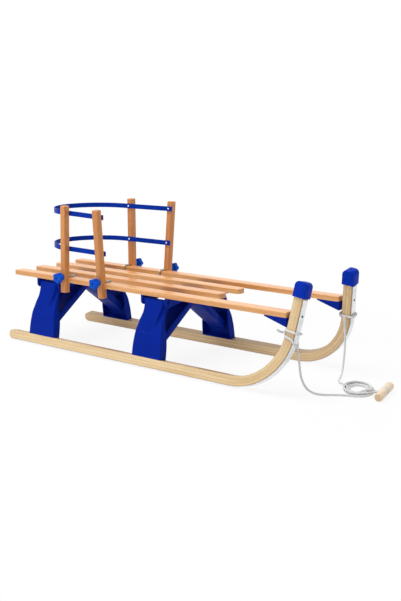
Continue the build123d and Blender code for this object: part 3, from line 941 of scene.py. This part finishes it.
@dataclass
class Trestles:
    """Legs, beams, braces, pins and catches."""

    finishes: Finishes
    ring_radius: float = 0.0065
    ring_wire: float = 0.0011
    ring_flats: int = 36
    ring_tuck: float = 0.002
    ring_lift: float = 0.3
    ring_tip: float = math.radians(80)
    ring_roll: float = math.radians(25)

    def build(self) -> None:
        """Dress the trestles, mould their legs and braces and add the catches' rings."""
        blue = self.finishes.blue
        for place in PLACES:
            dress(blue, f"{place}_beam")
            dress(self.finishes.painted, f"{place}_leg_pins", f"{place}_brace_pins")
            dress(self.finishes.dark, f"{place}_latch")
            self.add_ring(place)
            pins = box_middle(f"{place}_brace_pins")
            brace = BraceMoulding(pivot_z=pins.z)
            brace_place = Matrix.Translation((pins.x, 0, 0)) @ brace.place()
            for name in SIDES:
                stand_in(f"{name}_{place}_brace", brace.build(), mirrored(name) @ brace_place, blue,
                         f"{name}_braces")
                node = f"{name}_{place}_leg"
                leg_place = SIDE.place(name) @ Matrix.Translation((box_middle(node).x, 0, 0))
                stand_in(node, LegMoulding().build(), leg_place, blue, f"{name}_side")

    def add_ring(self, place: str) -> None:
        """Hang a wire pull ring on a catch.

        Args:
            place: Trestle that the catch belongs to.
        """
        shape = bmesh.new()
        bmesh.ops.create_circle(shape, segments=10, radius=self.ring_wire)
        upright = Matrix.Translation((self.ring_radius, 0, 0)) @ Matrix.Rotation(QUARTER_TURN, 4, "X")
        bmesh.ops.transform(shape, matrix=upright, verts=shape.verts)
        bmesh.ops.spin(shape, geom=shape.verts[:] + shape.edges[:], cent=(0, 0, 0), axis=(0, 0, 1),
                       angle=FULL_TURN, steps=self.ring_flats, use_merge=True)
        hang = box_middle(f"{place}_latch") + Vector((0, 0, self.ring_radius * self.ring_lift))
        hang.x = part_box(f"{place}_latch")[1].x - self.ring_tuck
        turn = Matrix.Rotation(self.ring_tip, 4, "X") @ Matrix.Rotation(self.ring_roll, 4, "Y")
        bmesh.ops.transform(shape, matrix=Matrix.Translation(hang) @ turn, verts=shape.verts)
        add_piece(f"{place}_latch_ring", shape, self.finishes.rivet, "far_braces")


@dataclass
class Runners:
    """Runners, soles, caps and the screws of the soles."""

    finishes: Finishes
    cap_size: Point = (0.0365, 0.0355, 0.0435)
    cap_low: float = 0.0965
    cap_arch: float = 0.0125
    cap_edge: float = 0.0016
    cap_hole: float = 0.0026
    cap_hole_cuts: int = 5
    cap_hole_rim: float = 0.0002
    cap_wall: float = 0.0022
    screw_radius: float = 0.0036
    screw_taper: float = 0.9
    screw_height: float = 0.0008
    screw_slot: float = 0.0005
    screw_run: float = 0.049

    def build(self) -> None:
        """Dress both runners, cap them and screw on their soles."""
        for name in SIDES:
            dress(self.finishes.runner[name], f"{name}_runner")
            dress(self.finishes.sole, f"{name}_sole")
            self.add_cap(name)
            self.add_screw(name)

    def add_cap(self, name: str) -> None:
        """Mould the cap on one upright, arched from front to rear, with a drain hole in its crown.

        Args:
            name: Name of the side.
        """
        cap = bmesh.new()
        bmesh.ops.create_cube(cap, size=1.0)
        bmesh.ops.scale(cap, vec=self.cap_size, verts=cap.verts)
        base = min(cap.faces, key=lambda face: face.calc_center_median().z)
        bmesh.ops.delete(cap, geom=[base], context="FACES_ONLY")
        crown = [edge for edge in cap.edges if all(v.co.z > 0 for v in edge.verts)
                 and abs(edge.verts[0].co.x - edge.verts[1].co.x) < WELD]
        round_edges(cap, crown, self.cap_arch, segments=10)
        round_edges(cap, [edge for edge in cap.edges if is_sharp(edge)], self.cap_edge, segments=3)
        self.sink_hole(cap)
        bmesh.ops.recalc_face_normals(cap, faces=cap.faces)
        if topmost(cap).normal.z < 0:
            bmesh.ops.reverse_faces(cap, faces=cap.faces)
        bmesh.ops.solidify(cap, geom=cap.faces[:], thickness=self.cap_wall)
        depth = (SIDE.runner_deep + SIDE.sole_thick) / 2
        middle = Matrix.Translation(SIDE.upright(depth, self.cap_low + self.cap_size[2] / 2))
        place = SIDE.place(name) @ middle @ Matrix.Rotation(SIDE.lean, 4, "Y")
        stand_in(f"{name}_cap", cap, place, self.finishes.cap_blue, f"{name}_side")

    def sink_hole(self, cap: Mesh) -> None:
        """Draw the middle of the crown in to a round drain hole and sink it.

        Args:
            cap: Mesh of the cap.
        """
        top = max(cap.faces, key=lambda face: (round(face.calc_center_median().z, DIGITS), face.calc_area()))
        bmesh.ops.inset_region(cap, faces=[top], thickness=self.cap_hole, use_even_offset=True)
        centre = top.calc_center_median()
        bmesh.ops.subdivide_edges(cap, edges=top.edges[:], cuts=self.cap_hole_cuts, use_grid_fill=False)
        bmesh.ops.inset_region(cap, faces=[top], thickness=self.cap_hole_rim, use_even_offset=True)
        for vertex in top.verts:
            away = vertex.co - centre
            away.z = 0
            vertex.co = centre + away.normalized() * self.cap_hole
        sink(cap, [top], self.cap_hole)

    def add_screw(self, name: str) -> None:
        """Set a slotted screw in the sole on one upright.

        Args:
            name: Name of the side.
        """
        head = bmesh.new()
        bmesh.ops.create_cone(head, cap_ends=True, segments=28, radius1=self.screw_radius,
                              radius2=self.screw_radius * self.screw_taper, depth=self.screw_height)
        bmesh.ops.translate(head, vec=(0, 0, self.screw_height / 2), verts=head.verts)
        for edge in (-self.screw_slot, self.screw_slot):
            bmesh.ops.bisect_plane(head, geom=head.verts[:] + head.edges[:] + head.faces[:],
                                   plane_co=(edge, 0, 0), plane_no=(1, 0, 0))
        slot = [face for face in head.faces
                if face.normal.z > FACES_UP and abs(face.calc_center_median().x) < self.screw_slot]
        sink(head, slot, self.screw_slot)
        spot = Matrix.Translation(SIDE.upright(0.0, self.screw_run))
        out = Matrix.Rotation(QUARTER_TURN + SIDE.lean, 4, "Y")
        bmesh.ops.transform(head, matrix=SIDE.place(name) @ spot @ out, verts=head.verts)
        add_piece(f"{name}_sole_screws", head, self.finishes.dark, f"{name}_side")


@dataclass
class Backrest:
    """Posts, hook bolts, knobs, bands and the rivets that hold the bands."""

    finishes: Finishes
    rivet_radius: float = 0.0032
    rivet_height: float = 0.0014
    rivet_taper: float = 0.86
    rivet_round: float = 0.75
    arm_least: float = 0.12
    band_least: float = 0.1
    same_row: float = 2e-5

    def build(self) -> None:
        """Dress the backrest and rivet its bands."""
        for name in SIDES:
            for place in PLACES:
                dress(self.finishes.post, f"{name}_{place}_post")
                dress(self.finishes.pin, f"{name}_{place}_hook_bolt")
                dress(self.finishes.bright_blue, f"{name}_{place}_knob")
        for level in ("lower", "upper"):
            dress(self.finishes.strap, f"{level}_back_band")
            self.add_rivets(level)

    def band_half(self, level: str, station: float) -> float:
        """Distance from the sled's middle to a band's inner face at a station.

        Args:
            level: Which band.
            station: Place along the sled.

        Returns:
            The distance in metres.
        """
        spots = [vertex.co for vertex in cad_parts[f"{level}_back_band"].data.vertices]
        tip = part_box(f"{level}_back_band")[1].x
        rows = {round(spot.x, DIGITS) for spot in spots if spot.y > self.arm_least}
        join = max(row for row in rows if row < station)
        at_tip, at_join = (min(spot.y for spot in spots
                               if spot.y > self.band_least and abs(spot.x - row) < self.same_row)
                           for row in (tip, join))
        return at_join + (station - join) / (tip - join) * (at_tip - at_join)

    def add_rivets(self, level: str) -> None:
        """Rivet one band to the four posts.

        Args:
            level: Which band.
        """
        shape = bmesh.new()
        height = box_middle(f"{level}_back_band").z
        for place in PLACES:
            station = box_middle(f"near_{place}_post").x
            half = self.band_half(level, station)
            for side in SIDES.values():
                spot = Matrix.Translation((station, side * half, height))
                self.add_rivet(shape, spot @ Matrix.Rotation(side * QUARTER_TURN, 4, "X"))
        add_piece(f"{level}_band_rivets", shape, self.finishes.rivet, "seat")

    def add_rivet(self, shape: Mesh, place: Matrix) -> None:
        """Add one low domed head standing on a face.

        Args:
            shape: Mesh to add to.
            place: Matrix from the head's frame, +Z out of the face, to the sled.
        """
        narrow = self.rivet_radius * self.rivet_taper
        made = bmesh.ops.create_cone(shape, cap_ends=True, segments=24, radius1=self.rivet_radius,
                                     radius2=narrow, depth=self.rivet_height)["verts"]
        rim = [edge for edge in shape.edges if all(v in made and v.co.z > 0 for v in edge.verts)]
        rounded = round_edges(shape, rim, self.rivet_height * self.rivet_round, segments=4)
        moved = {vertex for vertex in made if vertex.is_valid} | set(rounded)
        out = place @ Matrix.Translation((0, 0, self.rivet_height / 2))
        bmesh.ops.transform(shape, matrix=out, verts=list(moved))


@dataclass(frozen=True)
class Coil:
    """Oval turns of the heap: where they start, how many, their first and last inset, and their height."""

    start: float
    turns: float
    outer: float
    inner: float
    height: float


@dataclass
class PullCord:
    """Braided cord tied round both uprights, heaped in front and tied to a turned handle."""

    finishes: Finishes
    radius: float = 0.003
    around: int = 14
    step: float = 0.0018
    spline_steps: int = 14
    near_route: tuple[Point, ...] = (
        (517, -126.5, 172), (519, -127.2, 143), (523, -126, 108), (524, -120, 72), (525, -112, 38),
        (538, -105, 12), (562, -104, 3.4), (589, -96, 3.3), (609, -79, 3.3), (628, -66, 3.3))
    far_route: tuple[Point, ...] = (
        (519, 126.5, 172), (521, 127.4, 142), (525, 126.5, 106), (527, 122, 70), (529, 113, 36),
        (534, 98, 12), (541, 74, 3.4), (549, 51, 3.3), (562, 33, 3.3), (577.5, 21.5, 6.0))
    handle_route: tuple[Point, ...] = ((690, 2.4, 8), (695, 3.6, 10), (699.6, 4.4, 11.3), (704, 4.9, 11.8))
    over_heap: tuple[Point, ...] = ((44, 4, 9), (42, 17, 15.9), (37, 32, 15.9))
    near_tail: tuple[Point, ...] = ((-4, -9, 0.5), (-6, -18, 1.5), (-6, -26, 4), (-6, -34, 7))
    near_fall: float = 0.036
    floor_coil: Coil = Coil(-0.05, 2.95, 0.0035, 0.0275, 0.0033)
    top_coil: Coil = Coil(0.72, 1.29, 0.0185, 0.0075, 0.0097)
    heap_half_long: float = 0.069
    heap_half_wide: float = 0.050
    heap_turn: float = math.radians(-61)
    wobble: float = 0.0009
    wobble_rate: float = 1.7
    wobble_start: float = 9.0
    points_a_turn: int = 14
    handle_turn: float = math.radians(102)
    strand_gap: float = 0.0032
    hang_end: int = 5
    groove_radius: float = 0.009
    tie_gap: float = 0.0004
    tie_run: float = 0.00194
    tie_rise: float = 0.0063
    tie_points: int = 32
    tie_last: float = 0.625
    tie_front: float = 0.38
    tie_back: float = 0.22
    knot_drop: float = 0.008
    knot_back: float = 0.0055
    knot_size: float = 0.0024
    knot_points: int = 36
    wrap_radius: float = 0.0016
    wrap_bite: float = 0.97
    wrap_turns: int = 4

    def nurbs_line(self, points: list[Vector], closed: bool = False) -> list[Vector]:
        """Smooth line of a route.

        Args:
            points: Control points in metres.
            closed: Whether the line runs round to its start.

        Returns:
            Points read from the route's NURBS spline.
        """
        curve = bpy.data.curves.new("route", "CURVE")
        curve.dimensions = "3D"
        spline = curve.splines.new("NURBS")
        spline.points.add(len(points) - 1)
        for knot, point in zip(spline.points, points):
            knot.co = (*point, 1.0)
        spline.order_u = 3
        spline.use_endpoint_u = not closed
        spline.use_cyclic_u = closed
        curve.resolution_u = self.spline_steps
        holder = stand("route", curve)
        mesh = bpy.data.meshes.new_from_object(holder)
        line = [vertex.co.copy() for vertex in mesh.vertices]
        bpy.data.objects.remove(holder)
        bpy.data.curves.remove(curve)
        bpy.data.meshes.remove(mesh)
        return line + line[:1] if closed else line

    def walk(self, line: list[Vector]) -> list[Vector]:
        """Even steps along a line.

        Args:
            line: Points of the line.

        Returns:
            Points about one step apart.
        """
        total = sum((b - a).length for a, b in zip(line, line[1:]))
        count = max(2, round(total / self.step))
        gap = total / count
        walked = [line[0].copy()]
        gone = 0.0
        for a, b in zip(line, line[1:]):
            span = (b - a).length
            while span and len(walked) <= count and len(walked) * gap <= gone + span + HAIR:
                walked.append(a.lerp(b, (len(walked) * gap - gone) / span))
            gone += span
        return walked

    def add_tube(self, shape: Mesh, line: list[Vector], radius: float) -> None:
        """Run a round cord along a line and note its lay for the braid.

        Args:
            shape: Mesh to add to.
            line: Points of the line.
            radius: Radius of the cord.
        """
        lay = shape.verts.layers.float_vector.get(LAY) or shape.verts.layers.float_vector.new(LAY)
        steps = self.walk(line)
        made = bmesh.ops.create_circle(shape, segments=self.around, radius=radius, cap_ends=True)["verts"]
        for vertex in made:
            vertex[lay] = (vertex.co.x / radius, vertex.co.y / radius, 0.0)
        heading = (steps[1] - steps[0]).normalized()
        pose = Matrix.Translation(steps[0]) @ heading.to_track_quat("Z", "Y").to_matrix().to_4x4()
        bmesh.ops.transform(shape, matrix=pose, verts=made)
        edges = list({edge for vertex in made for edge in vertex.link_edges})
        gone = 0.0
        for before, here, after in zip(steps, steps[1:], steps[2:] + [2 * steps[-1] - steps[-2]]):
            ahead = (after - before).normalized()
            bend = heading.rotation_difference(ahead).to_matrix().to_4x4()
            grown = bmesh.ops.extrude_edge_only(shape, edges=edges)["geom"]
            verts = [part for part in grown if isinstance(part, Vert)]
            edges = [part for part in grown if isinstance(part, Edge)]
            move = Matrix.Translation(here) @ bend @ Matrix.Translation(-before)
            bmesh.ops.transform(shape, matrix=move, verts=verts)
            gone += (here - before).length
            for vertex in verts:
                vertex[lay] = (vertex[lay].x, vertex[lay].y, gone)
            heading = ahead
        bmesh.ops.contextual_create(shape, geom=edges)

    def heap_place(self, along: float, across: float, height: float) -> Vector:
        """Point of the heap from its own long and short axes.

        Args:
            along: Distance along its long axis.
            across: Distance along its short axis.
            height: Height over the floor.

        Returns:
            The point on the sled.
        """
        middle = box_middle("cord_hank")
        cosine, sine = math.cos(self.heap_turn), math.sin(self.heap_turn)
        return Vector((middle.x + along * cosine - across * sine,
                       middle.y + along * sine + across * cosine, height))

    def heap(self, coil: Coil) -> list[Vector]:
        """Loose oval turns of the heap.

        Args:
            coil: Which turns.

        Returns:
            Control points in metres.
        """
        count = round(coil.turns * self.points_a_turn)
        points = []
        for index in range(count + 1):
            share = index / count
            angle = FULL_TURN * (coil.start + coil.turns * share)
            sway = self.wobble * math.sin(self.wobble_rate * angle + self.wobble_start * coil.start)
            inset = coil.outer + (coil.inner - coil.outer) * share + sway
            points.append(self.heap_place((self.heap_half_long - inset) * math.cos(angle),
                                          (self.heap_half_wide - inset) * math.sin(angle), coil.height))
        return points

    def run_cord(self, name: str, route: list[Vector], nodes: tuple[str, ...]) -> None:
        """Args:
            name: Name of the side that it leaves.
            route: Control points in metres.
            nodes: Nodes that it stands for.
        """
        line = self.nurbs_line(route)
        shape = bmesh.new()
        self.add_tube(shape, line, self.radius)
        piece = add_piece(f"{name}_cord", shape, self.finishes.yarn, "")
        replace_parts(piece, *nodes)
        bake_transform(piece)

    def tie_point(self, angle: float, run: float, spread: float = 0.0) -> Vector:
        """Point of the cord where it lies round an upright.

        Args:
            angle: Angle round the upright, from the front towards the inside.
            run: Height over the end of the bend.
            spread: Extra distance from the wood.

        Returns:
            The point, drawn upright about the folding axis.
        """
        ahead, aside = math.cos(angle), math.sin(angle)
        off = self.tie_gap + self.radius + spread
        square = self.tie_front if ahead > 0 else self.tie_back
        x = math.copysign(abs(ahead) ** square, ahead) * (SIDE.runner_deep / 2 + off)
        y = math.copysign(abs(aside) ** square, aside) * (SIDE.runner_half + off)
        return SIDE.upright(SIDE.runner_deep / 2, run) + SIDE.ahead(run) * x + Vector((0, y, 0))

    def tie_turns(self, fall: float) -> list[Vector]:
        """One turn round an upright, from its back, and a last part of a turn that falls to its front.

        Args:
            fall: How far the last part falls.

        Returns:
            Control points, drawn upright about the folding axis.
        """
        last = round(self.tie_points * self.tie_last)
        runs = [self.tie_rise * (0.5 - index / self.tie_points) for index in range(self.tie_points + 1)]
        runs += [-self.tie_rise / 2 - fall * index / last for index in range(1, last + 1)]
        return [self.tie_point(math.pi + FULL_TURN * index / self.tie_points, self.tie_run + run)
                for index, run in enumerate(runs)]

    def knot(self, middle: Vector) -> list[Vector]:
        """Overhand knot as a small closed line.

        Args:
            middle: Middle of the knot.

        Returns:
            Control points, drawn upright about the folding axis.
        """
        points = []
        for index in range(self.knot_points):
            turn = FULL_TURN * index / self.knot_points
            points.append(middle + self.knot_size * Vector((-math.cos(3 * turn),
                                                            math.sin(turn) + 2 * math.sin(2 * turn),
                                                            math.cos(turn) - 2 * math.cos(2 * turn))))
        return points

    def tie_loop(self, name: str, fall: float, tail: tuple[Point, ...]) -> None:
        """Tie the cord round one upright, with a knot behind it and a loose tail.

        Args:
            name: Name of the side.
            fall: How far the last part of a turn falls.
            tail: Points of the loose end from the knot, in millimetres, or none.
        """
        back = self.tie_point(math.pi, self.tie_run - self.knot_drop, self.knot_back)
        lines = [self.nurbs_line(self.tie_turns(fall)), self.nurbs_line(self.knot(back), closed=True)]
        if tail:
            lines.append(self.nurbs_line([back] + [back + point for point in in_metres(tail)]))
        shape = bmesh.new()
        for line in lines:
            self.add_tube(shape, line, self.radius)
        bmesh.ops.transform(shape, matrix=SIDE.place(name), verts=shape.verts)
        piece = add_piece(f"{name}_cord_tie", shape, self.finishes.yarn, f"{name}_side")
        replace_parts(piece, f"{name}_cord_loop")

    def wrap_handle(self) -> bpy.types.Object:
        """Wind a thin whipping of the cord's strands in the handle's groove.

        Returns:
            The whipping.
        """
        turn = Matrix.Rotation(self.handle_turn, 4, "Z") @ Matrix.Rotation(QUARTER_TURN, 4, "Y")
        place = Matrix.Translation(box_middle("pull_handle")) @ turn
        reach = self.groove_radius + self.wrap_radius * self.wrap_bite
        count = self.wrap_turns * self.points_a_turn * 2
        points = []
        for index in range(count + 1):
            angle = FULL_TURN * self.wrap_turns * index / count
            slide = 2 * self.wrap_radius * self.wrap_turns * (index / count - 0.5)
            points.append(place @ Vector((reach * math.cos(angle), reach * math.sin(angle), slide)))
        shape = bmesh.new()
        self.add_tube(shape, self.nurbs_line(points), self.wrap_radius)
        return add_piece("handle_cord_turns", shape, self.finishes.yarn, "seat")

    def build(self) -> None:
        """Lay both halves of the cord, tie them and dress the handle."""
        dress(self.finishes.handle, "pull_handle")
        aside = Vector((math.cos(self.handle_turn), math.sin(self.handle_turn), 0)) * self.strand_gap
        handle = in_metres(self.handle_route)
        near = in_metres(self.near_route) + self.heap(self.floor_coil)
        near += [self.heap_place(*point) for point in in_metres(self.over_heap)]
        near += [point + aside for point in handle]
        far = in_metres(self.far_route) + self.heap(self.top_coil) + [point - aside for point in handle]
        carried = [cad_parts["pull_handle"], self.wrap_handle()]
        self.run_cord("near", near, ("near_pull_cord", "cord_hank", "handle_cord"))
        self.run_cord("far", far, ("far_pull_cord",))
        self.tie_loop("near", self.near_fall, self.near_tail)
        self.tie_loop("far", 0.0, ())


@dataclass(frozen=True)
class Lamp:
    """One soft square lamp: where it stands, its edge and its power."""

    name: str
    place: Point
    size: float
    watts: float


@dataclass
class Studio:
    """Pale floor, soft light and the camera."""

    camera_place: Point = (1.83765, -2.29645, 0.76968)
    yaw: float = math.radians(37.18)
    pitch: float = math.radians(-11.5)
    roll: float = math.radians(0.47)
    lens: float = 58.21
    sensor: float = 36.0
    floor_half: float = 9.0
    floor_drop: float = 0.0006
    floor_white: float = 0.86
    glow_near: float = 0.88
    shadow_reach: float = 0.6
    sky: Colour = (0.95, 0.97, 1.0)
    sky_strength: float = 0.48
    white: Colour = (1.0, 1.0, 1.0)
    aim: Point = (0.0, 0.0, 0.2)
    lamps: tuple[Lamp, ...] = (Lamp("overhead", (-0.5, -0.7, 3.2), 2.0, 84.0),
                               Lamp("front", (-1.4, -3.2, 1.5), 1.8, 16.0),
                               Lamp("side", (3.2, -0.4, 1.6), 1.8, 3.0))

    def add_camera(self) -> None:
        """Stand the camera where the photograph was taken from."""
        data = bpy.data.cameras.new("camera")
        data.sensor_fit = "VERTICAL"
        data.sensor_height = self.sensor
        data.lens = self.lens
        data.dof.use_dof = False
        ahead = Vector((-math.sin(self.yaw) * math.cos(self.pitch),
                        math.cos(self.yaw) * math.cos(self.pitch), math.sin(self.pitch)))
        right = Vector((math.cos(self.yaw), math.sin(self.yaw), 0))
        up = right.cross(ahead)
        level_right = right * math.cos(self.roll) + up * math.sin(self.roll)
        level_up = up * math.cos(self.roll) - right * math.sin(self.roll)
        turn = Matrix((level_right, level_up, -ahead)).transposed().to_4x4()
        camera = stand("camera", data)
        camera.matrix_world = Matrix.Translation(self.camera_place) @ turn
        bpy.context.scene.camera = camera

    def add_floor(self) -> None:
        """Lay a pale floor that keeps a soft shadow near the sled and glows white further off."""
        shape = bmesh.new()
        bmesh.ops.create_grid(shape, x_segments=2, y_segments=2, size=self.floor_half)
        bmesh.ops.translate(shape, vec=(0, 0, -self.floor_drop), verts=shape.verts)
        bench = Bench(bpy.data.materials.new("pale_floor"))
        paint = bench.add("BsdfDiffuse", {"Color": (self.floor_white,) * 3})[0]
        reach = bench.add("VectorMath", {0: bench.coords()}, operation="LENGTH")["Value"]
        fade = bench.between(reach, self.shadow_reach, 2 * self.shadow_reach, self.glow_near, 1.0)
        share = bench.math("MULTIPLY", bench.seen_directly(), fade)
        mixed = bench.add("MixShader", {0: share, 1: paint, 2: bench.add("Emission", {})[0]})[0]
        bench.add("OutputMaterial", {"Surface": mixed})
        stand_mesh("floor", shape, bench.holder)

    def add_world(self) -> None:
        """Light the sled evenly from a pale sky that shows white."""
        bench = Bench(bpy.data.worlds.new("studio"))
        sky = bench.add("Background", {"Color": self.sky, "Strength": self.sky_strength})[0]
        white = bench.add("Background", {"Color": self.white, "Strength": 1.0})[0]
        mixed = bench.add("MixShader", {0: bench.seen_directly(), 1: sky, 2: white})[0]
        bench.add("OutputWorld", {"Surface": mixed})
        bpy.context.scene.world = bench.holder

    def add_lamp(self, lamp: Lamp) -> None:
        """Aim one soft lamp at the sled.

        Args:
            lamp: Which lamp.
        """
        data = bpy.data.lights.new(lamp.name, "AREA")
        data.size = lamp.size
        data.energy = lamp.watts
        turn = (Vector(self.aim) - Vector(lamp.place)).to_track_quat("-Z", "Y").to_matrix().to_4x4()
        stand(lamp.name, data).matrix_world = Matrix.Translation(lamp.place) @ turn

    def build(self) -> None:
        """Set up the floor, the light and the camera."""
        self.add_floor()
        self.add_world()
        for lamp in self.lamps:
            self.add_lamp(lamp)
        self.add_camera()
        bpy.context.scene.view_settings.view_transform = "Standard"


def main() -> None:
    """Build the studio and dress the sled."""
    logging.basicConfig(level=logging.INFO, format="%(name)s: %(message)s")
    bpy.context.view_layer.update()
    Studio().build()
    finishes = Finishes()
    for section in (PullCord, SeatDeck, Trestles, Runners, Backrest):
        section(finishes).build()
        LOG.info("dressed %s", section.__name__)


if __name__ == "__main__":
    main()
